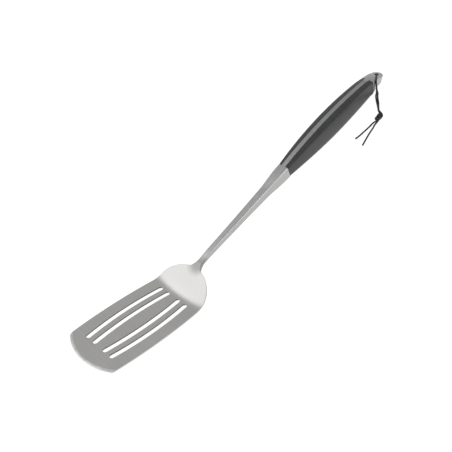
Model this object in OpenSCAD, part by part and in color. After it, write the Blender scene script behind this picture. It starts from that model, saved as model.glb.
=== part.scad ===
// Long-handled grill spatula, lying on a table.
// It rests on the heel of the blade and on the underside of the grip, with the tip of the blade raised.
// Row frame: +X runs from the tip of the blade to the end of the handle, +Y to the right of someone
// who holds it, +Z up, and the table is z = 0.  Every steel and resin piece is drawn in the blade's own
// frame (x along the blade from its tip, z square to it, the blade's top face at z = 0) and laid down by
// at_rest().

/* [Blade] */
// Thickness of the steel sheet
sheet_t = 1.5; // [1.2:0.1:2]
// Half width of the blade at its widest
blade_half_w = 35; // [32:0.5:38]
// Distance from the tip to the line where the heel is bent up
heel_x = 115.7; // [112:0.1:120]
// Radius of the bowed front edge, seen from above
tip_r = 56; // [50:1:70]
// Radius of the bowed side edges, seen from above
side_r = 580; // [450:10:900]
// Radius of the two front corners
corner_r = 4; // [2:0.5:6]
// Length of the round heel, up its slope
heel_len = 30.8; // [30:0.1:33]
// Angle by which the heel is bent up
heel_bend = 34.5; // [30:0.5:38]
// Radius of the bend, on its upper side
bend_r = 14; // [8:1:16]
// Width of the ground bevel along the front edge
bevel_w = 2.6; // [1:0.1:4]

/* [Slots] */
// Width of each slot
slot_w = 4.8; // [4.4:0.1:5.4]
// Distance of the inner pair of slots from the middle, at their middle
slot_inner_y = 10; // [9:0.5:11]
// Distance of the outer pair of slots from the middle, at their middle
slot_outer_y = 20.4; // [19:0.2:22]
// Bow radius of the inner slots
slot_inner_r = 382; // [350:2:450]
// Bow radius of the outer slots
slot_outer_r = 343; // [320:1:400]
// Where the slots begin, behind the tip
slot_x0 = 17.8; // [16:0.1:24]
// Where the slots end
slot_x1 = 109.4; // [100:0.1:110.4]

/* [Stem] */
// Slope of the stem above the blade
stem_slope = 21.3; // [18:0.1:24]
// Length of the stem, from the neck to the grip
stem_len = 130.5; // [125:0.5:135]
// Half width of the stem at the neck
neck_half_w = 3.05; // [2.8:0.05:3.4]
// Half height of the stem at the neck
neck_half_h = 2.7; // [2.4:0.05:3]

/* [Grip] */
// Length of the nearly straight part of the grip
grip_len = 129.5; // [125:0.5:135]
// Angle by which the grip curves down over that length
grip_turn = 5.2; // [3:0.1:7]
// Radius at which the end of the grip droops
droop_r = 90; // [80:1:110]
// Half width of the grip at its thickest
grip_half_w = 9.5; // [8.5:0.1:10.5]
// Half height of the grip at its thickest
grip_half_h = 11.65; // [10.5:0.05:12.5]
// Extra depth of the belly, along the middle of the grip's underside
belly = 3; // [1.5:0.1:3.5]
// Thickness of the tang, whose edges show between the two scales
tang_t = 5.1; // [4.8:0.1:6]

/* [End cap] */
// Radius of the rounded end, seen from above
cap_r = 7.2; // [6.8:0.1:7.6]
// Depth of the cap below its centre line at the hanging hole
cap_floor = 4.2; // [3.6:0.1:4.6]
// Diameter of the hanging hole
hang_d = 5; // [4.5:0.1:5.5]

/* [Hidden] */

// Centre line of the stem and grip, in the blade's frame: straight, a long arc, then the drooping end.
neck = [149.4, 21.1];
scale_s = stem_len;
droop_s = stem_len + grip_len;
hole_s = droop_s + 28;
cap_s = droop_s + 9;
end_s = hole_s + cap_r - 0.1;
grip_r = grip_len / (grip_turn * PI / 180);
function slope(s) =
    s < scale_s ? stem_slope
    : s < droop_s ? stem_slope - grip_turn * (s - scale_s) / grip_len
    : stem_slope - grip_turn - (s - droop_s) / droop_r * 180 / PI;
function arc_to(p, r, a0, a1) = p + r * [sin(a0) - sin(a1), cos(a1) - cos(a0)];
function stem_at(s) = neck + s * [cos(stem_slope), sin(stem_slope)];
function centre(s) =
    s < scale_s ? stem_at(s)
    : s < droop_s ? arc_to(stem_at(scale_s), grip_r, stem_slope, slope(s))
    : arc_to(centre(droop_s - 1e-6), droop_r, stem_slope - grip_turn, slope(s));
// A point y across and h above the centre line at distance s along it.
function on_line(s, y, h) =
    let (c = centre(s), a = slope(s)) [c[0] - h * sin(a), y, c[1] + h * cos(a)];

// Half width and half height of the grip: both swell in the middle.
swell_s = 212;
swell_half = 81;
function swell(s) = pow((s - swell_s) / swell_half, 2);
function grip_w(s) = grip_half_w - 3.2 * swell(s);
function grip_h(s) = grip_half_h - 4.6 * swell(s);
function belly_at(s) =
    s < scale_s || s > cap_s ? 0 : belly * pow(sin(180 * (s - scale_s) / (cap_s - scale_s)), 2);
function ease(t) = t <= 0 ? 0 : t >= 1 ? 1 : t * t * (3 - 2 * t);
function mix(a, b, t) = a + (b - a) * t;
flare_s = 96;
function flare(s) = ease((s - flare_s) / (scale_s - flare_s));
function stem_w(s) = mix(neck_half_w + 0.009 * s + 0.00008 * s * s, grip_w(scale_s), flare(s));
function stem_h(s) = mix(neck_half_h + 0.014 * s + 0.00009 * s * s, grip_h(scale_s), flare(s));

// Depth of the end cap below the centre line: it rises towards the hanging hole and on past it.
function cap_depth(s) =
    mix(grip_h(cap_s), cap_floor, ease((s - cap_s) / (hole_s - cap_s))) - pow(max(0, s - hole_s) / 5, 2);

// Laying it down: the tilt at which the underside of the grip touches the table as the heel does.
bend_axis = [heel_x - bend_r * tan(heel_bend / 2), bend_r];
rest_r = bend_r + sheet_t;
function row_xz(p, tilt) =
    let (d = p - bend_axis)
    [d[0] * cos(tilt) + d[1] * sin(tilt), d[1] * cos(tilt) - d[0] * sin(tilt) + rest_r];
function depth_at(s) = s < cap_s ? grip_h(s) + belly_at(s) : cap_depth(s);
function under(s) = let (p = on_line(s, 0, -depth_at(s))) [p[0], p[2]];
function lowest(tilt) = min([for (s = [scale_s:1:end_s]) row_xz(under(s), tilt)[1]]);
function solve_tilt(a, b, n) =
    let (m = (a + b) / 2)
    n == 0 ? m : lowest(m) > 0 ? solve_tilt(m, b, n - 1) : solve_tilt(a, m, n - 1);
tilt = solve_tilt(5, 30, 24);
x_tip = row_xz([0, -sheet_t], tilt)[0];
cap_top = on_line(end_s, 0, grip_h(hole_s));
x_end = row_xz([cap_top[0], cap_top[2]], tilt)[0];
x_mid = (x_tip + x_end) / 2;
module at_rest() {
    translate([-x_mid, 0, rest_r]) rotate([0, tilt, 0])
        translate([-bend_axis[0], 0, -bend_axis[1]]) children();
}

// Skin over a row of rings, each listed from its top towards +Y, down and back up.
module loft(rings) {
    n = len(rings[0]);
    m = len(rings);
    sides = [for (i = [0:m - 2], k = [0:n - 1]) let (a = i * n + k, b = i * n + (k + 1) % n)
        each [[a, b, b + n], [a, b + n, a + n]]];
    ends = [[for (k = [n - 1:-1:0]) k], [for (k = [0:n - 1]) (m - 1) * n + k]];
    polyhedron(points = [for (r = rings) each r], faces = concat(sides, ends), convexity = 6);
}

// Blade: a flat slotted sheet with a ground front edge, a bend, and a round heel that slopes up.
function unit(v) = v / norm(v);
// Meeting point, on the +Y side, of two circles about c1 and c2.
function circles_meet(c1, r1, c2, r2) =
    let (d = norm(c2 - c1), u = (c2 - c1) / d, a = (r1 * r1 - r2 * r2 + d * d) / (2 * d),
         h = sqrt(r1 * r1 - a * a), v = [-u[1], u[0]], p = c1 + a * u + h * v, q = c1 + a * u - h * v)
    p[0] < q[0] ? p : q;
tip_c = [tip_r, 0];
side_c = [heel_x / 2 + 1, blade_half_w - side_r];
corner_c = circles_meet(tip_c, tip_r - corner_r, side_c, side_r - corner_r);
function arc(c, r, a0, a1, n) = [for (k = [0:n]) let (a = mix(a0, a1, k / n)) c + r * [cos(a), sin(a)]];
function angle_of(v) = atan2(v[1], v[0]);
// Half width of the sheet at the bend.
bend_half_w = side_c[1] + sqrt(side_r * side_r - pow(bend_axis[0] - side_c[0], 2));
tip_angle = angle_of(corner_c - tip_c);
side_angle = angle_of(corner_c - side_c);
half_outline = concat(
    arc(tip_c, tip_r, 180, tip_angle, 10), arc(corner_c, corner_r, tip_angle, side_angle, 8),
    arc(side_c, side_r, side_angle, angle_of([bend_axis[0], bend_half_w] - side_c), 8));
module blade_outline() {
    other_half = [for (k = [len(half_outline) - 1:-1:1]) [half_outline[k][0], -half_outline[k][1]]];
    polygon(concat(half_outline, other_half));
}
// A slot bowed along an arc, with round ends.
module slot(y, r) {
    c = [(slot_x0 + slot_x1) / 2 + slot_w / 4, y - r];
    half = asin((slot_x1 - slot_x0 - slot_w) / 2 / r);
    ends = [for (a = [90 + half, 90 - half]) c + r * [cos(a), sin(a)]];
    polygon(concat(
        arc(ends[0], slot_w / 2, 270 + half, 90 + half, 8), arc(c, r + slot_w / 2, 90 + half, 90 - half, 8),
        arc(ends[1], slot_w / 2, 90 - half, -90 - half, 8), arc(c, r - slot_w / 2, 90 - half, 90 + half, 8)));
}
module slots() {
    for (side = [0, 1]) mirror([0, side]) {
        slot(slot_inner_y, slot_inner_r);
        slot(slot_outer_y, slot_outer_r);
    }
}
// Waste above a cone whose wall leaves a thin lip along the front edge.
module front_bevel() {
    lip = 0.35;
    rise = (sheet_t - lip) / bevel_w;
    margin = 1;
    translate([tip_r, 0, lip - sheet_t - rise * margin]) difference() {
        translate([-tip_r - margin, -blade_half_w - margin, 0])
            cube([corner_c[0] + corner_r + margin, 2 * (blade_half_w + margin), 2 * sheet_t]);
        cylinder(h = (bevel_w + 2 * margin) * rise, r1 = tip_r + margin, r2 = tip_r - bevel_w - margin,
            $fn = 180);
    }
}
module bend() {
    translate([bend_axis[0], 0, bend_axis[1]]) rotate([90, 0, 0]) rotate([0, 0, -90])
        intersection() {
            translate([0, 0, -bend_half_w]) difference() {
                cylinder(h = 2 * bend_half_w, r = bend_r + sheet_t, $fn = 120);
                translate([0, 0, -1]) cylinder(h = 2 * bend_half_w + 2, r = bend_r, $fn = 120);
            }
            translate([0, 0, -bend_half_w]) linear_extrude(height = 2 * bend_half_w)
                polygon([[0, 0], [2 * bend_r, 0], 2 * bend_r * [cos(heel_bend), sin(heel_bend)]]);
        }
}
// The heel's plane: u runs up the slope from the line where the two planes would meet.
module on_heel() {
    translate([heel_x, 0, 0]) rotate([0, -heel_bend, 0]) children();
}
heel_u0 = bend_r * tan(heel_bend / 2);
// The heel is round, and its circle is as wide as the sheet where it leaves the bend.
heel_back = (pow(bend_half_w, 2) - pow(heel_len, 2) + pow(heel_u0, 2)) / (2 * (heel_len - heel_u0));
heel_r = heel_len + heel_back;
tongue_half_w = 3.2;
tongue_fillet = 8;
tongue_y = tongue_half_w + tongue_fillet;
tongue_u = sqrt(pow(heel_r + tongue_fillet, 2) - tongue_y * tongue_y) - heel_back;
module heel_outline() {
    difference() {
        union() {
            translate([-heel_back, 0]) circle(r = heel_r, $fn = 180);
            translate([heel_len - 4, -tongue_y]) square([tongue_u - heel_len + 4, 2 * tongue_y]);
        }
        translate([heel_u0 - 100, -50]) square([100, 100]);
        for (s = [-1, 1]) translate([tongue_u, s * tongue_y]) circle(r = tongue_fillet, $fn = 60);
    }
}
module heel() {
    on_heel() translate([0, 0, -sheet_t]) linear_extrude(height = sheet_t) heel_outline();
}
module blade() {
    color("silver") at_rest() union() {
        difference() {
            translate([0, 0, -sheet_t]) linear_extrude(height = sheet_t) difference() {
                blade_outline();
                slots();
            }
            front_bevel();
        }
        bend();
        heel();
    }
}

// Stem and tang: one forged bar, split at the nose to take the heel's tongue.
function softened(v) = sign(v) * pow(abs(v), 0.36);
function soft_box(s, w, top, bottom, n) = [for (k = [0:n - 1])
    let (a = -360 * k / n)
    on_line(s, w * softened(cos(a)), mix(bottom, top, (softened(sin(a)) + 1) / 2))];
nose_s = -13;
stem_rings = concat([0, 8], [for (s = [20:20:80]) s], [for (s = [flare_s:3:scale_s - 2]) s], [scale_s]);
module stem_bar() {
    loft(concat(
        [for (s = [nose_s, -8, -4])
            soft_box(s, neck_half_w + 0.1 * s, neck_half_h + 0.3 * s, -neck_half_h, 24)],
        [for (s = stem_rings) soft_box(s, stem_w(s), stem_h(s), -stem_h(s), 24)]));
}
// Half height of the tang; the end buried in the stem stays inside it.
function bar_h(s) = s < scale_s ? stem_h(s) - 1 : grip_h(s);
function bar_depth(s) = bar_h(s) + belly_at(s);
module tang_plate() {
    path = concat([scale_s - 6], [for (s = [scale_s:8:cap_s - 4]) s], [cap_s]);
    top = [for (s = path) let (p = on_line(s, 0, bar_h(s))) [p[0], p[2]]];
    low = [for (s = path) let (p = on_line(s, 0, -bar_depth(s))) [p[0], p[2]]];
    rotate([90, 0, 0]) translate([0, 0, -tang_t / 2]) linear_extrude(height = tang_t)
        polygon(concat(low, [for (k = [len(top) - 1:-1:0]) top[k]]));
}
module stem() {
    color("lightgray") at_rest() difference() {
        union() {
            stem_bar();
            tang_plate();
        }
        heel();
        scale_pin_rods();
        cap_dowel_rods();
    }
}

// Scales: the two resin cheeks of the grip, one outline mirrored, each with blind holes for the pins.
// Outline of a scale's section from the top of the tang round to its underside: share of the width that
// stands out past the tang, share of the half height, and share of the belly's extra depth.
cheek_shape = [[0, 1, 0], [0.45, 0.94, 0], [0.92, 0.85, 0], [1, 0.8, 0], [1.05, 0.6, 0], [1.07, 0.2, 0],
    [1.06, -0.2, 0], [1.04, -0.45, 0], [1, -0.66, 0], [0.9, -0.84, 0.2], [0.7, -0.93, 0.5],
    [0.35, -0.985, 0.85], [0, -1, 1]];
function cheek(s, w) =
    let (t = tang_t / 2)
    [for (p = cheek_shape) on_line(s, t + (w - t) * p[0], grip_h(s) * p[1] - belly_at(s) * p[2])];
// The rear end of a scale reaches past the tang, slanting outwards and back, and the cap meets it there.
scale_reach = 4;
scale_slant = 0.35;
function cheek_end() =
    let (t = tang_t / 2, s = cap_s + scale_reach, w = cap_w(s), a = slope(cap_s))
    [for (p = cheek_shape) on_line(cap_s, t + (w - t) * p[0], grip_h(s) * p[1])
        + (scale_reach + scale_slant * (w - t) * p[0]) * [cos(a), 0, sin(a)]];
scale_rings = concat([scale_s, scale_s + 4], [for (s = [scale_s + 10:7:cap_s - 5]) s], [cap_s - 2]);
module cheek_solid() {
    difference() {
        loft(concat([for (s = scale_rings) cheek(s, grip_w(s))], [cheek_end()]));
        scale_pin_rods();
    }
}
module left_scale() {
    color("dimgray") at_rest() mirror([0, 1, 0]) cheek_solid();
}
module right_scale() {
    color("dimgray") at_rest() cheek_solid();
}

// Pins: three dowels across the grip, hidden in blind holes in both scales.
pin_r = 2;
pin_depth = 3.6;
pin_s = [scale_s + 18, scale_s + 66, scale_s + 114];
module scale_pin_rods() {
    for (s = pin_s) translate(on_line(s, 0, 0)) rotate([90, 0, 0])
        cylinder(h = tang_t + 2 * pin_depth, r = pin_r, center = true, $fn = 48);
}
module scale_pins() {
    color("gray") at_rest() scale_pin_rods();
}

// End cap: the steel end of the handle, round seen from above, narrow underneath, with the hanging hole.
cap_shape = [[0.3, 1], [0.6, 0.994], [0.85, 0.98], [0.95, 0.96], [1, 0.9], [0.985, 0.5], [0.95, 0.1],
    [0.87, -0.3], [0.77, -0.64], [0.68, -0.87], [0.6, -0.94], [0.5, -0.98], [0.3, -1]];
function cap_w(s) =
    s < hole_s ? mix(grip_w(cap_s), cap_r, ease((s - cap_s) / (hole_s - cap_s)))
    : sqrt(max(0, cap_r * cap_r - pow(s - hole_s, 2)));
// The wall of the round end leans in below, as a cone's does.
lean = 0.85;
function cap_half(s) =
    let (w = cap_w(s), g = grip_h(min(s, hole_s)), f = cap_depth(s), past = max(0, s - hole_s))
    [for (p = cap_shape) let (h = (p[1] < 0 ? f : g) * p[1], back = lean * past * (g - h) / (g + f))
        on_line(s, w * p[0], h) - back * [cos(slope(s)), 0, sin(slope(s))]];
function cap_ring(s) =
    let (t = ease((s - cap_s - 2) / (hole_s - cap_s - 6)), a = cheek(s, cap_w(s)), b = cap_half(s),
         half = [for (k = [0:len(a) - 1]) mix(a[k], b[k], t)])
    concat(half, [for (k = [len(half) - 1:-1:0]) [half[k][0], -half[k][1], half[k][2]]]);
module cap_front() {
    reach = 20;
    back = scale_reach + scale_slant * (reach - tang_t / 2);
    translate(on_line(cap_s, 0, 0)) rotate([0, -slope(cap_s), 0])
        linear_extrude(height = 2 * reach, center = true)
            polygon([[-reach, -reach], [back, -reach], [scale_reach, -tang_t / 2], [0, -tang_t / 2],
                [0, tang_t / 2], [scale_reach, tang_t / 2], [back, reach], [-reach, reach]]);
}
cap_stations = concat([cap_s - 2], [for (k = [3:3:hole_s - cap_s]) cap_s + k],
    [for (a = [12:12:84]) hole_s + cap_r * sin(a)]);
module end_cap() {
    color("lightgray") at_rest() difference() {
        loft([for (s = cap_stations) cap_ring(s)]);
        cap_front();
        cap_dowel_rods();
        translate(on_line(hole_s, 0, 0)) rotate([0, -slope(hole_s), 0])
            cylinder(h = 40, r = hang_d / 2, center = true, $fn = 60);
    }
}
dowel_r = 1.5;
dowel_len = 14;
dowel_gap = 7;
module cap_dowel_rods() {
    translate(on_line(cap_s, 0, 0)) rotate([0, 90 - slope(cap_s), 0]) for (k = [-1, 1])
        translate([k * dowel_gap / 2, 0, -dowel_len / 2]) cylinder(h = dowel_len, r = dowel_r, $fn = 48);
}
module cap_dowels() {
    color("gray") at_rest() cap_dowel_rods();
}

// Lace: one leather cord through the hanging hole.  Its two halves come down the left side of the handle,
// lie side by side on the table, are tied together in an overhand knot and end in two cut tails.  The routes
// are in the row frame, chosen by hand.
lace_r = 0.9;
loop_route = [
    [202.1, -11.2, lace_r], [203.7, -9.6, lace_r], [205.4, -7.4, lace_r], [207.2, -5, lace_r], [208.8, -2.9, 1],
    [210.2, -1.4, 1.5], [211.1, -0.5, 2.3], [211.7, -0.1, 3.5], [212.3, 0, 5], [213, 0, 6.9], [213.8, 0, 9],
    [214.7, 0, 11.4], [215.4, -0.2, 13.3], [215.6, -0.6, 14.8], [214.9, -1.2, 15.8], [213.2, -2.3, 16.5],
    [210.9, -3.9, 17.3], [208.4, -5.7, 18.3], [206.3, -7.2, 18.8], [204.6, -8.3, 18.2], [203.6, -8.8, 16.4],
    [203.1, -9, 13.6], [202.9, -9.1, 10.4], [202.8, -9.2, 7.2], [202.5, -9.2, 4.6], [201.8, -9.3, 2.5],
    [200.6, -9.7, 1.3]];
upper_strand = [[198.1, -11, lace_r], [193.2, -15, lace_r], [189.3, -18.5, lace_r], [185.4, -22.1, 1.2],
    [181.6, -25.6, 1.9], [178.3, -28.8, 3], [175.6, -31.6, 4]];
lower_strand = [[199.3, -12.5, lace_r], [194.3, -16.5, 1.2], [190.2, -19.8, 2.1], [186.1, -23, 2.9],
    [182, -26.2, 3.8], [178.5, -29.2, 4.9], [175.4, -31.9, 5.9]];
tail_one = [[166.5, -33, 2.6], [162.5, -32.5, 1.6], [157.1, -31.9, lace_r], [152, -31.5, lace_r],
    [147.2, -31, lace_r], [142.7, -30.6, lace_r], [138.9, -30, lace_r], [135.4, -29.2, lace_r]];
tail_two = [[166, -34.9, 2.4], [161.8, -35.6, 1.5], [157.7, -36.2, lace_r], [153.9, -36.8, lace_r],
    [150.1, -37.4, lace_r], [146, -38.2, lace_r], [141.9, -39.1, lace_r], [136.7, -40.3, lace_r],
    [131.4, -41.5, lace_r]];
function run(route, k) =
    unit(route[min(k + 1, len(route) - 1)] - route[max(k - 1, 0)]);
// Rings carried along the route without twisting: the side of each ring stays as square to the last as it can.
function sides_of(route, k = 0, last = [0.3, -0.9, 0.1]) =
    k == len(route) ? []
    : let (t = run(route, k), side = unit(last - (last * t) * t)) concat([side], sides_of(route, k + 1, side));
module tube(route) {
    sides = sides_of(route);
    loft([for (k = [0:len(route) - 1]) let (t = run(route, k), u = sides[k], v = cross(t, u))
        [for (a = [0:45:315]) route[k] + lace_r * (cos(a) * u + sin(a) * v)]]);
}
module lace_loop() {
    color("black") tube(loop_route);
}
module lace_strands() {
    color("black") {
        tube(upper_strand);
        tube(lower_strand);
    }
}
knot_at = [170.4, -34.3, 4.7];
knot_run = [-0.887, -0.46];
knot_r = 4.5;
knot_half = 6.2;
module lace_knot() {
    color("black") translate(knot_at) rotate([0, 90, atan2(knot_run[1], knot_run[0])])
        rotate_extrude($fn = 48) polygon(concat([[0, -knot_half], [0, knot_half]],
            [for (a = [75:-15:-75]) [knot_r * cos(a), knot_half * sin(a)]]));
}
module lace_tails() {
    color("black") {
        tube(tail_one);
        tube(tail_two);
    }
}

blade();
stem();
left_scale();
right_scale();
scale_pins();
end_cap();
cap_dowels();
lace_loop();
lace_strands();
lace_knot();
lace_tails();
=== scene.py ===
"""Looks of a long-handled grill spatula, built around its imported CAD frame.

Lengths in the shape functions are in millimetres.  The steel and the scales are drawn in the blade's own
frame (x along the blade from its tip, z square to it) and laid on the table by at_rest(), as in the CAD.
"""

import math

import bmesh
import bpy
from mathutils import Matrix, Vector


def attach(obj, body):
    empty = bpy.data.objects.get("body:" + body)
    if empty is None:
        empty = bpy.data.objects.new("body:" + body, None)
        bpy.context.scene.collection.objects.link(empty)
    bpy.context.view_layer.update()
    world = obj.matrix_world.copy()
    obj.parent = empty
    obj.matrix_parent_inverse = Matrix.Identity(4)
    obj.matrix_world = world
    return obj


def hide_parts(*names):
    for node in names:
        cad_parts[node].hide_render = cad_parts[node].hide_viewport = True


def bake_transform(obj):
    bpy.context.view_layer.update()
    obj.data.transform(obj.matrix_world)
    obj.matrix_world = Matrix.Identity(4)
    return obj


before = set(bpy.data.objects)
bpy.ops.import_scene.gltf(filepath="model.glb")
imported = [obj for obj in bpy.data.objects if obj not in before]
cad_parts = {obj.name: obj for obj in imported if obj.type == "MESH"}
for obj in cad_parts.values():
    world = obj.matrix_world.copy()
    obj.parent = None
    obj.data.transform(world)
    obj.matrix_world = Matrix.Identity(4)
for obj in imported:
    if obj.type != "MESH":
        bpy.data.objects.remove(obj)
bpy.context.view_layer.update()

MM = 0.001

# ---------------------------------------------------------------- dimensions
# The CAD's values, but for the bevel, which is 0.2 mm wider here, and the slots, which are 0.1 mm narrower.
SHEET_T = 1.5
# The bend: where the planes of blade and heel would meet, along the blade from its tip, its angle and radius.
HEEL_X = 115.7
HEEL_BEND = math.radians(34.5)
BEND_R = 14
# Radii of the front edge, of the bowed sides and of the corners between them.
TIP_R = 56
SIDE_R = 580
CORNER_R = 4
BLADE_HALF_W = 35
HEEL_LEN = 30.8
# The ground front bevel: its width, and the thickness that it leaves at the edge.
BEVEL_W = 2.8
BEVEL_LIP = 0.35
SLOT_W = 4.7
# Each slot's distance from the middle and the radius of its bow.
SLOTS = ((10, 382), (20.4, 343))
SLOT_X0 = 17.8
SLOT_X1 = 109.4
# Start of the stem's centre line, and its angle to the blade in degrees.
NECK = (149.4, 21.1)
STEM_SLOPE = 21.3
STEM_LEN = 130.5
# The grip turns down gently over its length, by this angle in degrees, and its end droops with this radius.
GRIP_LEN = 129.5
GRIP_TURN = 5.2
DROOP_R = 90
# How much deeper the grip is in its middle, underneath.
BELLY = 3
TANG_T = 5.1
# The cap: radius of its round end, its reach below the centre line there, and its hanging hole.
CAP_R = 7.2
CAP_FLOOR = 4.2
HANG_D = 5
# Places along the centre line: end of the grip's gentle curve, end of the tang, hanging hole, start of the
# stem's flare.
DROOP_S = STEM_LEN + GRIP_LEN
CAP_S = DROOP_S + 9
HOLE_S = DROOP_S + 28
FLARE_S = 96
# Thickest place of the grip, the distance over which it tapers, its half sizes there and what it tapers by.
SWELL_S = 212
SWELL_HALF = 81
GRIP_HALF_W = 9.5
GRIP_W_TAPER = 3.2
GRIP_HALF_H = 11.65
GRIP_H_TAPER = 4.6
# Half width and half height of the stem at its neck, their growth per millimetre and per square millimetre.
STEM_W_TERMS = (3.05, 0.009, 0.00008)
STEM_H_TERMS = (2.7, 0.014, 0.00009)
# How far the scales run past the end of the tang, and the slant of their rear ends.
SCALE_REACH = 4
SCALE_SLANT = 0.35
# How the spatula lies: the blade's tilt, and the shift that puts the middle of its length at the origin.
TILT = math.radians(19.3579)
X_MID = 112.494
BEND_AXIS = (HEEL_X - BEND_R * math.tan(HEEL_BEND / 2), BEND_R)
REST_R = BEND_R + SHEET_T


def at_rest(p):
    """A point of the blade's frame, laid down on the table: row frame, metres."""
    dx, dz = p[0] - BEND_AXIS[0], p[2] - BEND_AXIS[1]
    x = dx * math.cos(TILT) + dz * math.sin(TILT) - X_MID
    z = dz * math.cos(TILT) - dx * math.sin(TILT) + REST_R
    return Vector((x, p[1], z)) * MM


def mix(a, b, t):
    return a + (b - a) * t


def ease(t):
    t = min(max(t, 0), 1)
    return t * t * (3 - 2 * t)


# ---------------------------------------------------------------- centre line of the stem and grip
def slope(s):
    """Angle of the centre line to the blade at s, in degrees; s runs from the neck."""
    if s < STEM_LEN:
        return STEM_SLOPE
    if s < DROOP_S:
        return STEM_SLOPE - GRIP_TURN * (s - STEM_LEN) / GRIP_LEN
    return STEM_SLOPE - GRIP_TURN - math.degrees((s - DROOP_S) / DROOP_R)


def arc_to(p, r, a0, a1):
    """End of an arc that starts at p and turns down from slope a0 to slope a1."""
    a0, a1 = math.radians(a0), math.radians(a1)
    return p[0] + r * (math.sin(a0) - math.sin(a1)), p[1] + r * (math.cos(a1) - math.cos(a0))


def centre(s):
    along = min(s, STEM_LEN)
    a = math.radians(STEM_SLOPE)
    p = NECK[0] + along * math.cos(a), NECK[1] + along * math.sin(a)
    if s > STEM_LEN:
        grip_r = GRIP_LEN / math.radians(GRIP_TURN)
        p = arc_to(p, grip_r, STEM_SLOPE, STEM_SLOPE - GRIP_TURN * (min(s, DROOP_S) - STEM_LEN) / GRIP_LEN)
    if s > DROOP_S:
        p = arc_to(p, DROOP_R, STEM_SLOPE - GRIP_TURN, slope(s))
    return p


def on_line(s, y, h):
    """The point h above the centre line at s, square to it, and y to the side."""
    c, a = centre(s), math.radians(slope(s))
    return Vector((c[0] - h * math.sin(a), y, c[1] + h * math.cos(a)))


def swell(s):
    """Share of the grip's taper that is reached at s: none at its thickest place."""
    return ((s - SWELL_S) / SWELL_HALF) ** 2


def grip_w(s):
    return GRIP_HALF_W - GRIP_W_TAPER * swell(s)


def grip_h(s):
    return GRIP_HALF_H - GRIP_H_TAPER * swell(s)


def belly_at(s):
    if s < STEM_LEN or s > CAP_S:
        return 0
    return BELLY * math.sin(math.pi * (s - STEM_LEN) / (CAP_S - STEM_LEN)) ** 2


def flared(s, terms, at_grip):
    """A half size of the stem that grows slowly from the neck and flares into the grip's."""
    slim = terms[0] + terms[1] * s + terms[2] * s * s
    return mix(slim, at_grip, ease((s - FLARE_S) / (STEM_LEN - FLARE_S)))


def stem_w(s):
    return flared(s, STEM_W_TERMS, grip_w(STEM_LEN))


def stem_h(s):
    return flared(s, STEM_H_TERMS, grip_h(STEM_LEN))


# ---------------------------------------------------------------- mesh helpers
def stations(a, b, step):
    """Evenly spaced values from a to b, about a step apart."""
    n = max(1, round((b - a) / step))
    return [mix(a, b, k / n) for k in range(n + 1)]


def new_object(name, verts, faces, material):
    mesh = bpy.data.meshes.new(name)
    mesh.from_pydata([tuple(v) for v in verts], [], faces)
    mesh.validate()
    obj = bpy.data.objects.new(name, mesh)
    bpy.context.scene.collection.objects.link(obj)
    obj.data.materials.append(material)
    return obj


def smooth(obj, angle):
    """Smooth shading between faces that meet at less than this angle."""
    obj.data.polygons.foreach_set("use_smooth", [True] * len(obj.data.polygons))
    obj.data.set_sharp_from_angle(angle=math.radians(angle))
    obj.data.update()
    return obj


def loft(name, rings, material, angle=35):
    """Skin over closed rings of points in the blade's frame, with flat ends."""
    n, m = len(rings[0]), len(rings)
    verts = [at_rest(p) for ring in rings for p in ring]
    faces = [(i * n + k, i * n + (k + 1) % n, (i + 1) * n + (k + 1) % n, (i + 1) * n + k)
             for i in range(m - 1) for k in range(n)]
    faces += [tuple(range(n))[::-1], tuple((m - 1) * n + k for k in range(n))]
    obj = new_object(name, verts, faces, material)
    fix_normals(obj)
    return smooth(obj, angle)


def fix_normals(obj):
    bm = bmesh.new()
    bm.from_mesh(obj.data)
    bmesh.ops.recalc_face_normals(bm, faces=bm.faces)
    bm.to_mesh(obj.data)
    bm.free()


def weigh_normals(obj):
    """Lets the large faces rule the shading, so that rounded edges blend in softly."""
    modifier = obj.modifiers.new("normals", "WEIGHTED_NORMAL")
    modifier.keep_sharp = True
    modifier.weight = 60


def apply_modifiers(obj):
    """Replaces the object's mesh by its evaluated one, modifiers included."""
    depsgraph = bpy.context.evaluated_depsgraph_get()
    mesh = bpy.data.meshes.new_from_object(obj.evaluated_get(depsgraph))
    obj.modifiers.clear()
    obj.data = mesh


def cut(obj, tool):
    """Takes the tool's volume out of the object."""
    modifier = obj.modifiers.new("cut", "BOOLEAN")
    modifier.operation = "DIFFERENCE"
    modifier.solver = "EXACT"
    modifier.object = tool
    apply_modifiers(obj)
    bpy.data.objects.remove(tool)


def spline_points(points, steps):
    """Catmull-Rom curve through the points, ends included."""
    pts = [Vector(p) for p in points]
    pts = [2 * pts[0] - pts[1]] + pts + [2 * pts[-1] - pts[-2]]
    out = []
    for a, b, c, d in zip(pts, pts[1:], pts[2:], pts[3:]):
        for k in range(steps):
            t = k / steps
            out.append(0.5 * (2 * b + (c - a) * t + (2 * a - 5 * b + 4 * c - d) * t * t
                              + (3 * b - a - 3 * c + d) * t ** 3))
    return out + [pts[-2]]


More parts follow.
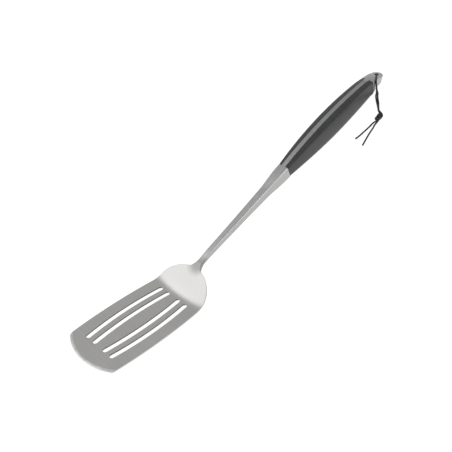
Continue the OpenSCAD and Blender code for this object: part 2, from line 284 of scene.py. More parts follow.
# ---------------------------------------------------------------- materials
class Nodes:
    """A node material that is built step by step."""

    def __init__(self, name):
        self.material = bpy.data.materials.new(name)
        self.material.use_nodes = True
        self.tree = self.material.node_tree
        self.shader = self.tree.nodes["Principled BSDF"]
        self.coords = self.tree.nodes.new("ShaderNodeTexCoord")

    def link(self, a, b):
        self.tree.links.new(a, b)

    def noise(self, scale, stretch=(1, 1, 1), turn=0.0, detail=3, rough=0.55):
        """Noise on the object's own coordinates, stretched by its three scales after a turn about Y."""
        mapping = self.tree.nodes.new("ShaderNodeMapping")
        mapping.inputs["Rotation"].default_value = (0, turn, 0)
        mapping.inputs["Scale"].default_value = stretch
        self.link(self.coords.outputs["Object"], mapping.inputs["Vector"])
        node = self.tree.nodes.new("ShaderNodeTexNoise")
        node.inputs["Scale"].default_value = scale
        node.inputs["Detail"].default_value = detail
        node.inputs["Roughness"].default_value = rough
        self.link(mapping.outputs["Vector"], node.inputs["Vector"])
        return node.outputs["Fac"]

    def sum_of(self, *parts):
        """Sum of noises, each given with its share."""
        shares = [self.math("MULTIPLY", value, share) for value, share in parts]
        total = shares[0]
        for share in shares[1:]:
            total = self.math("ADD", total, share)
        return total

    def between(self, value, low, high, out_low, out_high):
        """The value with the range low to high mapped onto the range out_low to out_high."""
        node = self.tree.nodes.new("ShaderNodeMapRange")
        node.inputs["From Min"].default_value = low
        node.inputs["From Max"].default_value = high
        node.inputs["To Min"].default_value = out_low
        node.inputs["To Max"].default_value = out_high
        self.link(value, node.inputs["Value"])
        return node.outputs["Result"]

    def ramp(self, value, *stops):
        """Colour ramp through the stops, each a place and a colour."""
        node = self.tree.nodes.new("ShaderNodeValToRGB")
        while len(node.color_ramp.elements) < len(stops):
            node.color_ramp.elements.new(0.5)
        for element, (place, colour) in zip(node.color_ramp.elements, stops):
            element.position = place
            element.color = (*colour, 1)
        self.link(value, node.inputs["Fac"])
        return node.outputs["Color"]

    def math(self, operation, a, b):
        node = self.tree.nodes.new("ShaderNodeMath")
        node.operation = operation
        for socket, value in zip(node.inputs, (a, b)):
            if isinstance(value, (int, float)):
                socket.default_value = value
            else:
                self.link(value, socket)
        return node.outputs["Value"]

    def near(self, point, inner, outer, value_in, value_out):
        """A value that fades from one to the other with the distance from a point of the object."""
        away = self.tree.nodes.new("ShaderNodeVectorMath")
        away.operation = "DISTANCE"
        away.inputs[1].default_value = point
        self.link(self.coords.outputs["Object"], away.inputs[0])
        node = self.tree.nodes.new("ShaderNodeMapRange")
        node.interpolation_type = "SMOOTHSTEP"
        node.inputs["From Min"].default_value = inner
        node.inputs["From Max"].default_value = outer
        node.inputs["To Min"].default_value = value_in
        node.inputs["To Max"].default_value = value_out
        self.link(away.outputs["Value"], node.inputs["Value"])
        return node.outputs["Result"]

    def dimmed(self, colour, factor):
        """The colour times a factor."""
        node = self.tree.nodes.new("ShaderNodeVectorMath")
        node.operation = "SCALE"
        self.link(colour, node.inputs[0])
        self.link(factor, node.inputs["Scale"])
        return node.outputs["Vector"]

    def bump(self, height, depth, strength):
        node = self.tree.nodes.new("ShaderNodeBump")
        node.inputs["Distance"].default_value = depth
        node.inputs["Strength"].default_value = strength
        self.link(height, node.inputs["Height"])
        self.link(node.outputs["Normal"], self.shader.inputs["Normal"])

    def set(self, **values):
        for name, value in values.items():
            self.shader.inputs[name.replace("_", " ")].default_value = value


def steel(name, tone, across, turn=0.0, rough=(0.3, 0.46), fine=1.0, spread=(0.86, 1.1), neck_shade=None):
    """Brushed stainless steel: fine and coarse hair lines across or along the part, and soft blotches.

    The tone varies by the factors of spread.  A painted shade round the neck, where the stem meets the heel,
    dims it, fading out between two distances in metres.
    """
    m = Nodes(name)
    m.set(Metallic=1.0)
    stretch = (1, 0.02, 1) if across else (0.02, 1, 1)
    hair = m.noise(2600 * fine, stretch, turn, 2, 0.6)
    line = m.noise(900 * fine, stretch, turn, 3, 0.6)
    cloud = m.noise(28, (1, 1, 1), 0, 3)
    mixed = m.sum_of((hair, 0.45), (line, 0.35), (cloud, 0.2))
    dark, light = [tuple(c * k for c in tone) for k in spread]
    colour = m.ramp(mixed, (0.36, dark), (0.64, light))
    if neck_shade:
        # painted shade: the colour is dimmed near the neck
        colour = m.dimmed(colour, m.near(at_rest(on_line(NECK_SHADE_S, 0, 0)), *neck_shade, NECK_SHADE_DIM, 1.0))
    m.link(colour, m.shader.inputs["Base Color"])
    m.link(m.between(mixed, 0.35, 0.65, *rough), m.shader.inputs["Roughness"])
    m.bump(mixed, 0.00003, 0.5)
    return m.material


def laminate(name):
    """Dark grey resin laminate, sanded across the grip, a little mottled."""
    m = Nodes(name)
    m.set(Metallic=0.0, IOR=1.5)
    sanding = m.noise(1500, (1, 0.06, 0.06), 0, 2, 0.6)
    fleck = m.noise(420, (1, 1, 1), 0, 2, 0.6)
    cloud = m.noise(35, (1, 1, 1), 0, 3)
    mixed = m.sum_of((sanding, 0.4), (fleck, 0.35), (cloud, 0.25))
    m.link(m.ramp(mixed, (0.36, (0.014, 0.0145, 0.015)), (0.64, (0.034, 0.0345, 0.0355))),
           m.shader.inputs["Base Color"])
    m.link(m.between(mixed, 0.35, 0.65, 0.36, 0.52), m.shader.inputs["Roughness"])
    m.bump(mixed, 0.00006, 0.6)
    return m.material


def leather(name):
    """Round leather lace: matt black-brown, fine grain, paler where it is rubbed."""
    m = Nodes(name)
    m.set(Metallic=0.0, IOR=1.45)
    grain = m.noise(1800, (1, 1, 1), 0, 3, 0.6)
    rub = m.noise(260, (1, 1, 1), 0, 2)
    mixed = m.sum_of((grain, 0.6), (rub, 0.4))
    m.link(m.ramp(mixed, (0.38, (0.012, 0.011, 0.01)), (0.66, (0.04, 0.036, 0.033))),
           m.shader.inputs["Base Color"])
    m.link(m.between(mixed, 0.35, 0.65, 0.6, 0.78), m.shader.inputs["Roughness"])
    m.bump(mixed, 0.0001, 0.7)
    return m.material


# Painted shade round the neck, where blade and stem meet, darkens the steel there: its middle along the
# centre line, and its dimming.
NECK_SHADE_S = -5
NECK_SHADE_DIM = 0.55
BLADE_TONE = (0.50, 0.496, 0.488)
# The ground front bevel is smoother and brushed along its edge; its lighter tone is a painted highlight.
GROUND_HIGHLIGHT_TONE = (0.62, 0.616, 0.608)
# The walls of the slots are narrow and rough and see little light; their dark tone is painted shade.
SLOT_SHADE_TONE = (0.12, 0.119, 0.117)
STEM_TONE = (0.42, 0.42, 0.417)
TANG_TONE = (0.34, 0.34, 0.338)
# The blade's and the stem's steels get a painted shade round the neck, fading out between the two distances
# given last.
blade_steel = steel("blade_steel", BLADE_TONE, True, TILT, (0.33, 0.42), 1.0, (0.93, 1.05), (0.004, 0.015))
ground_highlight_steel = steel("ground_highlight_steel", GROUND_HIGHLIGHT_TONE, False, TILT, (0.28, 0.4), 1.0, (0.93, 1.05))
slot_shade_steel = steel("slot_shade_steel", SLOT_SHADE_TONE, False, TILT, (0.5, 0.65))
stem_steel = steel("stem_steel", STEM_TONE, False, neck_shade=(0.003, 0.013))
tang_steel = steel("tang_steel", TANG_TONE, True, 0.0, (0.34, 0.5), 0.8)
hidden_steel = steel("hidden_steel", (0.5, 0.5, 0.5), True)
scale_resin = laminate("scale_resin")
lace_leather = leather("lace_leather")


# ---------------------------------------------------------------- lace
LACE_R = 0.9
# Routes in the row frame, in the direction away from the hanging hole but for UNDER; near those of the CAD.
UNDER = [(201.3, -10.7, 0.9), (203.3, -9, 0.9), (205.2, -7, 0.9), (207.2, -5, 0.9), (208.8, -2.9, 1),
         (210.2, -1.4, 1.5), (211.1, -0.5, 2.3), (211.7, -0.1, 3.5), (212.3, 0, 5)]
HOLE_MIDDLE = (213, 0, 6.9)
OVER = [(213.8, 0, 9), (214.7, 0, 11.4), (215.4, -0.2, 13.3), (215.6, -0.6, 14.8), (214.9, -1.2, 15.8),
        (213.2, -2.3, 16.5), (210.9, -3.9, 17.3), (208.4, -5.7, 18.3), (206.3, -7.2, 18.8),
        (204.6, -8.3, 18.2), (203.6, -8.8, 16.4), (203.1, -9, 13.6), (202.8, -9.1, 10.4),
        (202.2, -9.3, 7.2), (201.2, -9.6, 4.7), (199.9, -10, 2.8)]
UPPER_STRAND = [(197.6, -10.8, 1.6), (192.9, -14.8, 1.1), (189.2, -18.4, 0.9), (185.4, -22.1, 1.2),
                (181.6, -25.6, 1.9), (178.3, -28.8, 3)]
LOWER_STRAND = [(198.9, -12.1, 0.9), (194, -16.2, 1.2), (190.1, -19.7, 2.1), (186, -22.9, 2.9),
                (181.9, -26.1, 3.8), (178.4, -29.1, 4.8)]
TAIL_ONE = [(162.5, -32.5, 1.6), (157.1, -31.9, 0.9), (152, -31.5, 0.9), (147.2, -31, 0.9),
            (142.7, -30.6, 0.9), (138.9, -30, 0.9), (135.4, -29.2, 0.9)]
TAIL_TWO = [(161.8, -35.6, 1.5), (157.7, -36.2, 0.9), (153.9, -36.8, 0.9), (150.1, -37.4, 0.9),
            (146, -38.2, 0.9), (141.9, -39.1, 0.9), (136.7, -40.3, 0.9), (131.4, -41.5, 0.9)]
# Middle of the knot, its direction, and its half sizes before the strands' own thickness.
KNOT_AT = Vector((170.9, -34.9, 4.8))
KNOT_RUN = Vector((-0.887, -0.46, 0)).normalized()
KNOT_LONG = 6.1
KNOT_WIDE = 5.4
KNOT_HIGH = 3.4
# How far each of the two strands lies from the middle of the pair.
KNOT_SHIFT = 1.05
# Points of the route's curve between each two of its points, and the sides of the tube.
ROUTE_STEPS = 5
TUBE_SIDES = 16
# Radius of the lace's cut ends, as a share of its own.
TUBE_END = 0.8


def knot_route(shift, steps=15):
    """Overhand knot, drawn tight: an open trefoil, shifted sideways for each of the two strands."""
    side = Vector((-KNOT_RUN.y, KNOT_RUN.x, 0))
    up = Vector((0, 0, 1))
    out = []
    for k in range(steps):
        # t runs along the strand; beyond about 2 either way its ends would leave the knot.
        t = mix(-1.95, 1.95, k / (steps - 1))
        along = (t ** 3 - 3 * t) / 2
        wide = (t ** 4 - 4 * t * t) / 4 + 0.5
        high = (t ** 5 / 5 - 2 * t) / 2.2
        out.append(KNOT_AT + KNOT_LONG * along * KNOT_RUN + KNOT_WIDE * wide * side
                   + KNOT_HIGH * high * up + shift * (0.5 * side + 0.85 * up))
    return out


def tube(name, path, radius):
    """Round tube along the path, its two ends a little rounded; the path is its rings' own centres."""
    n = TUBE_SIDES
    # Any direction that does not run along the start of the path.
    side = Vector((0.3, -0.9, 0.1))
    verts = []
    for i, p in enumerate(path):
        run = (path[min(i + 1, len(path) - 1)] - path[max(i - 1, 0)]).normalized()
        side = (side - run * side.dot(run)).normalized()
        other = run.cross(side)
        r = radius * (TUBE_END if i in (0, len(path) - 1) else 1)
        verts += [(p + r * (math.cos(a) * side + math.sin(a) * other)) * MM
                  for a in (2 * math.pi * k / n for k in range(n))]
    faces = [(i * n + k, i * n + (k + 1) % n, (i + 1) * n + (k + 1) % n, (i + 1) * n + k)
             for i in range(len(path) - 1) for k in range(n)]
    last = (len(path) - 1) * n
    faces += [tuple(range(n))[::-1], tuple(last + k for k in range(n))]
    obj = new_object(name, verts, faces, lace_leather)
    fix_normals(obj)
    return smooth(obj, 50)


def add_lace(name, before, strand, knot, tail, nodes):
    """Half of the lace: from the middle of the hanging hole to its tail's end, never below the table."""
    path = [Vector((p.x, p.y, max(p.z, LACE_R)))
            for p in spline_points([HOLE_MIDDLE] + before + strand + knot + tail, ROUTE_STEPS)]
    obj = tube(name, path, LACE_R)
    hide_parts(*nodes)
    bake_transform(obj)


add_lace("lace_upper", OVER, UPPER_STRAND, knot_route(-KNOT_SHIFT), TAIL_ONE,
         ["lace_loop", "lace_strands"])
add_lace("lace_lower", UNDER[::-1], LOWER_STRAND, knot_route(KNOT_SHIFT), TAIL_TWO,
         ["lace_knot", "lace_tails"])


# ---------------------------------------------------------------- blade
def arc(c, r, a0, a1, n):
    """Arc about c in n steps, both ends included."""
    return [(c[0] + r * math.cos(mix(a0, a1, k / n)), c[1] + r * math.sin(mix(a0, a1, k / n)))
            for k in range(n + 1)]


def angle_of(p, c):
    return math.atan2(p[1] - c[1], p[0] - c[0])


def circles_meet(c1, r1, c2, r2):
    """Meeting point, on the tip's side, of two circles."""
    d = math.dist(c1, c2)
    u = ((c2[0] - c1[0]) / d, (c2[1] - c1[1]) / d)
    a = (r1 * r1 - r2 * r2 + d * d) / (2 * d)
    h = math.sqrt(r1 * r1 - a * a)
    found = [(c1[0] + a * u[0] - k * h * u[1], c1[1] + a * u[1] + k * h * u[0]) for k in (1, -1)]
    return min(found)


# Centres of the outline's side, front and corner arcs, in the flat sheet.
SIDE_C = (HEEL_X / 2 + 1, BLADE_HALF_W - SIDE_R)
TIP_C = (TIP_R, 0)
CORNER_C = circles_meet(TIP_C, TIP_R - CORNER_R, SIDE_C, SIDE_R - CORNER_R)
# The heel: half its width at the bend, where it starts, and its arc.
BEND_HALF_W = SIDE_C[1] + math.sqrt(SIDE_R ** 2 - (BEND_AXIS[0] - SIDE_C[0]) ** 2)
HEEL_U0 = BEND_R * math.tan(HEEL_BEND / 2)
HEEL_BACK = (BEND_HALF_W ** 2 - HEEL_LEN ** 2 + HEEL_U0 ** 2) / (2 * (HEEL_LEN - HEEL_U0))
HEEL_R = HEEL_LEN + HEEL_BACK
TONGUE_HALF_W = 3.2
TONGUE_FILLET = 8
BEND_LEN = BEND_R * HEEL_BEND
# Half width of the slotted part of the blade.
SLOT_ZONE = 26
# How much earlier the sheet bends in its middle, and how much wider its bend is at the sides.
BEND_EARLY = 2.2
BEND_WIDER = 6
# Distance behind the bend over which the heel comes back to its plane.
HEEL_RETURN = 26
# The outline's worn corner at the bend: its reach along the sheet, its least half width, and how often each
# of its points is averaged with its neighbours.
WORN_REACH = 24
WORN_Y = 15
WORN_PASSES = 60
# Small rounding of the sheet's sheared edges.
SHEAR_EDGE = 0.16
# Spacing of the lines that divide the sheet so that it can bend: in the bend, behind it, and across; and how
# far behind the bend they go.
BEND_STEP = 0.4
HEEL_STEP = 1.5
ACROSS_STEP = 3
HEEL_FINE = 24


def blade_half():
    """Half of the blade's outline, flat and unrolled, from the tip to the end of the tongue."""
    a_tip, a_side = angle_of(CORNER_C, TIP_C), angle_of(CORNER_C, SIDE_C)
    pts = arc(TIP_C, TIP_R, math.pi, a_tip, 28)
    pts += arc(CORNER_C, CORNER_R, a_tip, a_side, 10)[1:]
    pts += arc(SIDE_C, SIDE_R, a_side, angle_of((BEND_AXIS[0], BEND_HALF_W), SIDE_C), 30)[1:]
    shift = BEND_AXIS[0] + BEND_LEN - HEEL_U0
    tongue_y = TONGUE_HALF_W + TONGUE_FILLET
    tongue_u = math.sqrt((HEEL_R + TONGUE_FILLET) ** 2 - tongue_y ** 2) - HEEL_BACK
    heel_c = (-HEEL_BACK, 0)
    a0 = angle_of((HEEL_U0, BEND_HALF_W), heel_c)
    a1 = angle_of((tongue_u, tongue_y), heel_c)
    heel = arc(heel_c, HEEL_R, a0, a1, 40)
    heel += arc((tongue_u, tongue_y), TONGUE_FILLET, a1 + math.pi, 1.5 * math.pi, 10)[1:]
    heel[-1] = (tongue_u, TONGUE_HALF_W)
    return worn(pts + [(x + shift, y) for x, y in heel])


def between_neighbours(a, p, b):
    return (a[0] + 2 * p[0] + b[0]) / 4, (a[1] + 2 * p[1] + b[1]) / 4


def worn(points):
    """The outline with its corner at the bend worn down: each point there moves towards its neighbours."""
    corner_x = BEND_AXIS[0] + BEND_LEN
    near = {k for k, (x, y) in enumerate(points[:-1]) if y > WORN_Y and abs(x - corner_x) < WORN_REACH}
    for _ in range(WORN_PASSES):
        points = [between_neighbours(points[k - 1], p, points[k + 1]) if k in near else p
                  for k, p in enumerate(points)]
    return points


def slot_outline(y, r):
    """Outline of a bowed slot with round ends, y from the blade's middle."""
    c = ((SLOT_X0 + SLOT_X1) / 2 + SLOT_W / 4, y - r)
    half = math.asin((SLOT_X1 - SLOT_X0 - SLOT_W) / 2 / r)
    quarter = math.pi / 2
    left, right = [(c[0] + r * math.cos(a), c[1] + r * math.sin(a))
                   for a in (quarter + half, quarter - half)]
    return (arc(left, SLOT_W / 2, 3 * quarter + half, quarter + half, 14)
            + arc(c, r + SLOT_W / 2, quarter + half, quarter - half, 40)[1:-1]
            + arc(right, SLOT_W / 2, quarter - half, -quarter - half, 14)
            + arc(c, r - SLOT_W / 2, quarter - half, quarter + half, 40)[1:-1])


def bent(x, y, z):
    """A point of the unrolled sheet, carried round the bend: early in the middle, wider at the sides."""
    side = (y / BEND_HALF_W) ** 2
    radius = BEND_R + BEND_WIDER * side
    early = BEND_EARLY * (1 - side) + BEND_WIDER * side * (1 - math.cos(TILT)) / math.sin(TILT)
    u = x - BEND_AXIS[0] + early
    if u <= 0:
        return (x, y, z)
    a = min(u / radius, HEEL_BEND)
    rest = max(0, u - radius * HEEL_BEND)
    # The heel ends where its unbowed plane would, at the stem.
    raised = (HEEL_U0 + early - radius * math.tan(HEEL_BEND / 2)) * math.sin(HEEL_BEND)
    return (x - u + (radius - z) * math.sin(a) + rest * math.cos(a), y,
            radius - (radius - z) * math.cos(a) + rest * math.sin(a) - raised * ease(rest / HEEL_RETURN))


def front_tool():
    """Waste above the ground bevel of the front edge: a band between a cone and a wider wall."""
    n = 240
    reach = math.radians(48)
    rise = (SHEET_T - BEVEL_LIP) / BEVEL_W
    rings = [(TIP_R + 1, BEVEL_LIP - SHEET_T - rise), (TIP_R - BEVEL_W - 1, rise), (TIP_R + 6, rise),
             (TIP_R + 6, BEVEL_LIP - SHEET_T - rise)]
    verts, faces = [], []
    for k in range(n + 1):
        a = math.pi + mix(-reach, reach, k / n)
        verts += [(TIP_R + r * math.cos(a), r * math.sin(a), z) for r, z in rings]
    for k in range(n):
        faces += [(4 * k + j, 4 * k + (j + 1) % 4, 4 * k + 4 + (j + 1) % 4, 4 * k + 4 + j) for j in range(4)]
    faces += [(3, 2, 1, 0), (4 * n, 4 * n + 1, 4 * n + 2, 4 * n + 3)]
    obj = new_object("front_tool", [Vector(v) * MM for v in verts], faces, blade_steel)
    fix_normals(obj)
    return obj


def blade_loops():
    """The blade's outline and its four slots, flat."""
    half = blade_half()
    loops = [half + [(x, -y) for x, y in half[:0:-1]]]
    for y, r in SLOTS:
        slot = slot_outline(y, r)
        loops += [slot, [(a, -b) for a, b in slot]]
    return loops


def flat_sheet(loops):
    """Mesh of the flat sheet with its slots, its middle plane at height 0."""
    curve = bpy.data.curves.new("blade_outline", "CURVE")
    curve.dimensions = "2D"
    curve.fill_mode = "BOTH"
    curve.extrude = (SHEET_T / 2 - SHEAR_EDGE) * MM
    curve.bevel_depth = SHEAR_EDGE * MM
    curve.bevel_resolution = 1
    for loop in loops:
        spline = curve.splines.new("POLY")
        spline.points.add(len(loop) - 1)
        for point, (x, y) in zip(spline.points, loop):
            point.co = (x * MM, y * MM, 0, 1)
        spline.use_cyclic_u = True
    # The bevel pushes the outline out by its own width, so the shape is drawn in by as much.
    curve.offset = -SHEAR_EDGE * MM
    temporary = bpy.data.objects.new("blade_outline", curve)
    bpy.context.scene.collection.objects.link(temporary)
    depsgraph = bpy.context.evaluated_depsgraph_get()
    mesh = bpy.data.meshes.new_from_object(temporary.evaluated_get(depsgraph))
    bpy.data.objects.remove(temporary)
    return mesh


def divide(bm, at, across):
    """Divides the mesh along the plane through a point, square to the direction across."""
    geometry = bm.verts[:] + bm.edges[:] + bm.faces[:]
    bmesh.ops.bisect_plane(bm, geom=geometry, dist=1e-7, plane_co=at, plane_no=across)


def ready_to_bend(mesh):
    """Puts the sheet's top at height 0 and divides it finely round the bend."""
    bm = bmesh.new()
    bm.from_mesh(mesh)
    bmesh.ops.remove_doubles(bm, verts=bm.verts, dist=1e-6)
    bmesh.ops.translate(bm, verts=bm.verts, vec=(0, 0, -SHEET_T / 2 * MM))
    first, last = BEND_AXIS[0] - BEND_EARLY - 0.1, BEND_AXIS[0] + BEND_LEN + 4
    behind = stations(last + HEEL_STEP, last + HEEL_FINE, HEEL_STEP)
    for x in stations(first, last, BEND_STEP) + behind:
        divide(bm, (x * MM, 0, 0), (1, 0, 0))
    lines = int(BLADE_HALF_W / ACROSS_STEP)
    for k in range(-lines, lines + 1):
        divide(bm, (0, ACROSS_STEP * k * MM, 0), (0, 1, 0))
    bm.to_mesh(mesh)
    bm.free()


def paint_faces(mesh):
    """Gives the flat sheet's slot walls a dark steel, which is painted shade, and its front bevel a lighter
    steel, which is partly a painted highlight.
    """
    mesh.materials.append(slot_shade_steel)
    mesh.materials.append(ground_highlight_steel)
    for face in mesh.polygons:
        # The normal of a wall is nearly level, that of the bevel leans a little.
        x, y, rise = face.center.x / MM, abs(face.center.y) / MM, abs(face.normal.z)
        if rise < 0.9 and y < SLOT_ZONE and SLOT_X0 - 1 < x < SLOT_X1 + 1:
            # slot walls: dark steel as painted shade
            face.material_index = 1
        elif 0.8 < rise < 0.98 and x < SLOT_X0:
            # front bevel: ground finish, its lighter tone a painted highlight
            face.material_index = 2


def add_blade():
    mesh = flat_sheet(blade_loops())
    ready_to_bend(mesh)
    mesh.materials.clear()
    mesh.materials.append(blade_steel)
    obj = bpy.data.objects.new("blade_sheet", mesh)
    bpy.context.scene.collection.objects.link(obj)
    cut(obj, front_tool())
    paint_faces(obj.data)
    for v in obj.data.vertices:
        v.co = at_rest(bent(*(v.co / MM)))
    fix_normals(obj)
    smooth(obj, 25)
    weigh_normals(obj)
    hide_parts("blade")
    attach(obj, "spatula")


# ---------------------------------------------------------------- stem and tang
# Height of the heel's face above the stem's centre line at the neck, and the length of the easing.
NOSE_FACE = 1.76
NOSE_EASE = 16
# Where the nose starts on the heel and where it ends, along the centre line, and its least thickness.
NOSE_S = -10
NOSE_END = 14
NOSE_T = 1.6
# Growth of the nose's half width towards the heel, per square millimetre.
NOSE_SPREAD = 0.035
# Radius of the stem's long edges on the nose and behind it, and its growth up to the grip.
CORNER_NOSE = 0.5
CORNER_STEM = 0.85
CORNER_GROWTH = 0.65
# Rounding of the stem's end where the scales start, and of the tang's long edges.
STEM_END = 0.25
TANG_EDGE = 0.25


def rounded(s, w, top, bottom, r, n=7):
    """Section of a bar with rounded corners, from the right side round over the top."""
    out = []
    right, left, high, low = w - r, r - w, top - r, bottom + r
    for cy, ch, a0 in ((right, high, 0), (left, high, 90), (left, low, 180), (right, low, 270)):
        for k in range(n + 1):
            a = math.radians(a0 + 90 * k / n)
            out.append(on_line(s, cy + r * math.cos(a), ch + r * math.sin(a)))
    return out


def nose_top(s):
    """Top of the stem's nose above the centre line: level with the heel's face, then easing into the stem."""
    rise = math.tan(HEEL_BEND - math.radians(STEM_SLOPE))
    face = NOSE_FACE + rise * s
    full = stem_h(max(s, 0))
    half = NOSE_EASE / 2
    meet = (full - NOSE_FACE) / rise
    if s < meet - half:
        return face
    if s > meet + half:
        return full
    return full - rise * (meet + half - s) ** 2 / (2 * NOSE_EASE)


def nose_w(s):
    """Half width of the nose: it spreads over the tongue's fillets towards the heel."""
    return stem_w(max(s, 0)) + NOSE_SPREAD * max(0, 1 - s) ** 2


def corner(s):
    """Radius of the stem's long edges."""
    nose = mix(CORNER_NOSE, CORNER_STEM, ease((s - NOSE_S) / (NOSE_END - NOSE_S)))
    return nose + CORNER_GROWTH * max(0, s - NOSE_END) / (STEM_LEN - NOSE_END)


def add_stem():
    places = stations(NOSE_S, NOSE_END, 0.75) + stations(NOSE_END + 1, FLARE_S - 1, 5)
    places += stations(FLARE_S, STEM_LEN - 0.3, 0.8)
    rings = [rounded(s, nose_w(s), nose_top(s), min(-stem_h(max(s, 0)), nose_top(s) - NOSE_T), corner(s))
             for s in places]
    end_w, end_h = stem_w(STEM_LEN) - STEM_END, stem_h(STEM_LEN) - STEM_END
    rings.append(rounded(STEM_LEN, end_w, end_h, -end_h, 1.0))
    bar = loft("stem_bar", rings, stem_steel, angle=40)
    weigh_normals(bar)
    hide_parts("stem")
    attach(bar, "spatula")
    tang = loft("tang_plate", [rounded(s, TANG_T / 2, grip_h(s), -grip_h(s) - belly_at(s), TANG_EDGE, 3)
                               for s in stations(STEM_LEN - 1, CAP_S, 2)], tang_steel)
    weigh_normals(tang)
    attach(tang, "spatula")


# ---------------------------------------------------------------- scales
# Half section of a scale, from the top down: shares of its width, of its half height, and of the belly.
CHEEK = [(0, 1, 0), (0.45, 0.94, 0), (0.92, 0.85, 0), (1, 0.8, 0), (1.05, 0.6, 0), (1.07, 0.2, 0),
         (1.06, -0.2, 0), (1.04, -0.45, 0), (1, -0.66, 0), (0.9, -0.84, 0.2), (0.7, -0.93, 0.5),
         (0.35, -0.985, 0.85), (0, -1, 1)]
CHEEK_FINE = spline_points(CHEEK, 4)
# Half section of the cap's end, from the top down: shares of its width and of its height.
CAP = [(0.3, 1), (0.6, 0.994), (0.85, 0.98), (0.95, 0.96), (1, 0.9), (0.985, 0.5), (0.95, 0.1),
       (0.87, -0.3), (0.77, -0.64), (0.68, -0.87), (0.6, -0.94), (0.5, -0.98), (0.3, -1)]
CAP_FINE = spline_points([(*p, 0) for p in CAP], 4)
# The cap's end leans back at its foot by this share of the distance behind the hole.
LEAN = 0.85
# Wear of the outer corner of a scale's rear end.
CORNER_WEAR = 1.2
# Rounded edge of a scale's rear end: distance before the end, and how far the section is drawn in.
END_EDGE = ((6, 0), (4, 0), (2.5, 0), (1.3, 0.04), (0.7, 0.15), (0.3, 0.32), (0, 0.7))


def cheek(s, w, inset):
    """Section of the right scale at s, as (s, y, height): w is its half width, the inset draws it in."""
    t = TANG_T / 2
    out = []
    for p in CHEEK_FINE:
        h = grip_h(s) * p[1] - belly_at(s) * p[2]
        reach = (w - t) * p[0]
        out.append((s, t + reach - inset * min(1, 4 * p[0]), h - math.copysign(inset, p[1]) * abs(p[1])))
    return out


def forward(s):
    """Unit vector along the centre line, in the blade's frame."""
    a = math.radians(slope(s))
    return Vector((math.cos(a), 0, math.sin(a)))


def end_reach(share):
    """How far past the tang's end the scale reaches, at this share of its width; its outer corner is worn."""
    slant = SCALE_SLANT * (cap_w(CAP_S + SCALE_REACH) - TANG_T / 2)
    return SCALE_REACH + slant * share - CORNER_WEAR * max(0, 2 * share - 1) ** 2


def add_scale(name, node, sign):
    """A scale; the sign puts it to the right or to the left."""
    path = [(STEM_LEN, 0.3), (STEM_LEN + 0.3, 0.0)]
    path += [(s, 0.0) for s in stations(STEM_LEN + 2, CAP_S - 3, 3)]
    rings = [[on_line(*q) for q in cheek(s, grip_w(s), i)] for s, i in path]
    w = cap_w(CAP_S + SCALE_REACH)
    for before, inset in END_EDGE:
        ring = []
        for share, q in zip(CHEEK_FINE, cheek(CAP_S, w, inset)):
            along = end_reach(share[0]) - before
            level = grip_h(CAP_S + along) / grip_h(CAP_S)
            ring.append(on_line(CAP_S, q[1], q[2] * level) + along * forward(CAP_S))
        rings.append(ring)
    rings = [[Vector((p.x, sign * p.y, p.z)) for p in ring] for ring in rings]
    obj = loft(name, rings, scale_resin, angle=40)
    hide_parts(node)
    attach(obj, "spatula")


# ---------------------------------------------------------------- end cap
# Length behind the hole over which the cap's depth shrinks by its first millimetre, and the least half width.
CAP_TAPER = 5
CAP_TIP_W = 0.2


def cap_depth(s):
    """How far the cap reaches below the centre line."""
    base = mix(grip_h(CAP_S), CAP_FLOOR, ease((s - CAP_S) / (HOLE_S - CAP_S)))
    return base - (max(0, s - HOLE_S) / CAP_TAPER) ** 2


def cap_w(s):
    """Half width of the cap, which ends in a half circle round the hanging hole."""
    if s < HOLE_S:
        return mix(grip_w(CAP_S), CAP_R, ease((s - CAP_S) / (HOLE_S - CAP_S)))
    return math.sqrt(max(CAP_TIP_W ** 2, CAP_R ** 2 - (s - HOLE_S) ** 2))


def cap_point(s, k):
    """Point k of the cap's half section at s: the scales' section turns into the cap's own."""
    w, g, f = cap_w(s), grip_h(min(s, HOLE_S)), cap_depth(s)
    a, b = CHEEK_FINE[k], CAP_FINE[k]
    t = TANG_T / 2
    first = on_line(s, t + (w - t) * a[0], grip_h(s) * a[1])
    h = (f if b[1] < 0 else g) * b[1]
    back = LEAN * max(0, s - HOLE_S) * (g - h) / (g + f)
    second = on_line(s, w * b[0], h) - back * forward(s)
    return first.lerp(second, ease((s - CAP_S - 2) / (HOLE_S - CAP_S - 6)))


def hole_tool():
    """A pin through the cap at the hanging hole, to cut the hole with."""
    n = 48
    foot, along = on_line(HOLE_S, 0, 0), forward(HOLE_S)
    up = Vector((-along.z, 0, along.x))
    verts = []
    for h in (-20, 20):
        for k in range(n):
            a = 2 * math.pi * k / n
            u, y = HANG_D / 2 * math.cos(a), HANG_D / 2 * math.sin(a)
            verts.append(at_rest(foot + u * along + h * up + Vector((0, y, 0))))
    faces = [(k, (k + 1) % n, n + (k + 1) % n, n + k) for k in range(n)]
    faces += [tuple(range(n))[::-1], tuple(range(n, 2 * n))]
    tool = new_object("hole_tool", verts, faces, stem_steel)
    fix_normals(tool)
    return tool


def add_cap_tongue():
    """The cap's tongue, which goes on from the tang between the ends of the scales."""
    tongue = loft("cap_tongue", [rounded(s, TANG_T / 2, grip_h(s), -grip_h(s), TANG_EDGE, 3)
                                 for s in stations(CAP_S + 0.05, CAP_S + SCALE_REACH + 0.6, 2)], stem_steel)
    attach(tongue, "spatula")


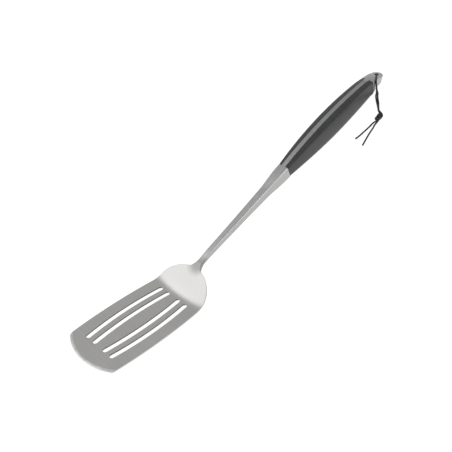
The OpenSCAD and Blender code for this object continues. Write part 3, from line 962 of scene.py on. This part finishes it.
def add_cap():
    count = len(CHEEK_FINE)
    starts = [CAP_S + end_reach(p[0]) - 0.6 for p in CHEEK_FINE]
    halves = [[cap_point(mix(starts[k], HOLE_S, f), k) for k in range(count)]
              for f in stations(0, 1, 1 / 26)]
    for a in list(range(6, 85, 6)) + [89]:
        s = HOLE_S + CAP_R * math.sin(math.radians(a))
        halves.append([cap_point(s, k) for k in range(count)])
    rings = [half + [Vector((p.x, -p.y, p.z)) for p in half[::-1]] for half in halves]
    obj = loft("cap_body", rings, stem_steel, angle=40)
    cut(obj, hole_tool())
    smooth(obj, 40)
    add_cap_tongue()
    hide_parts("end_cap")
    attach(obj, "spatula")


add_blade()
add_stem()
add_scale("left_cheek", "left_scale", -1)
add_scale("right_cheek", "right_scale", 1)
add_cap()

# The pins and dowels keep the CAD's shape; they are hidden inside the grip.
for node in ("scale_pins", "cap_dowels"):
    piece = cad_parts[node]
    piece.data.materials.clear()
    piece.data.materials.append(hidden_steel)


# ---------------------------------------------------------------- camera
LENS = 55.75
SENSOR_W = 36
CAMERA_AT = (-242.1, -399.4, 550.3)
# Unit vectors to the picture's right, to its top, and back to the camera.
CAMERA_AXES = ((0.6607, -0.7009, -0.2686), (0.6883, 0.4230, 0.5893), (-0.2995, -0.5743, 0.7619))


def add_camera():
    data = bpy.data.cameras.new("camera")
    data.lens = LENS
    data.sensor_width = SENSOR_W
    data.clip_end = 20
    camera = bpy.data.objects.new("camera", data)
    bpy.context.scene.collection.objects.link(camera)
    spin = Matrix(CAMERA_AXES).transposed().to_4x4()
    camera.matrix_world = Matrix.Translation(Vector(CAMERA_AT) * MM) @ spin
    bpy.context.scene.camera = camera


# ---------------------------------------------------------------- floor and light, in metres
FLOOR_HALF = 4
FLOOR_DROP = 0.0002
# The floor glows and reflects little, so that it is pale and holds almost no shadow.
FLOOR_TONE = 0.3
FLOOR_GLOW = 0.88
WORLD_LEVEL = 0.62


def add_floor():
    half = FLOOR_HALF
    material = bpy.data.materials.new("floor")
    material.use_nodes = True
    shader = material.node_tree.nodes["Principled BSDF"]
    shader.inputs["Base Color"].default_value = (FLOOR_TONE, FLOOR_TONE, FLOOR_TONE, 1)
    shader.inputs["Roughness"].default_value = 0.9
    shader.inputs["Specular IOR Level"].default_value = 0.0
    shader.inputs["Emission Color"].default_value = (1, 1, 1, 1)
    shader.inputs["Emission Strength"].default_value = FLOOR_GLOW
    floor = new_object("floor", [(-half, -half, 0), (half, -half, 0), (half, half, 0), (-half, half, 0)],
                       [(0, 1, 2, 3)], material)
    floor.location.z = -FLOOR_DROP


def add_light(name, at, size, power):
    """A soft rectangular light that faces the origin."""
    data = bpy.data.lights.new(name, "AREA")
    data.shape = "RECTANGLE"
    data.size, data.size_y = size
    data.energy = power
    light = bpy.data.objects.new(name, data)
    light.location = at
    light.rotation_euler = (-Vector(at)).to_track_quat("-Z", "Y").to_euler()
    bpy.context.scene.collection.objects.link(light)


def add_world(level):
    world = bpy.data.worlds.new("world")
    world.use_nodes = True
    background = world.node_tree.nodes["Background"]
    background.inputs["Color"].default_value = (1, 1, 1, 1)
    background.inputs["Strength"].default_value = level
    bpy.context.scene.world = world
    bpy.context.scene.view_settings.view_transform = "Standard"


add_camera()
add_floor()
add_world(WORLD_LEVEL)
add_light("back_softbox", (-1.1, 1.4, 1.8), (2.6, 2.6), 27)
add_light("front_softbox", (0.5, -1.2, 0.9), (0.8, 0.8), 7)
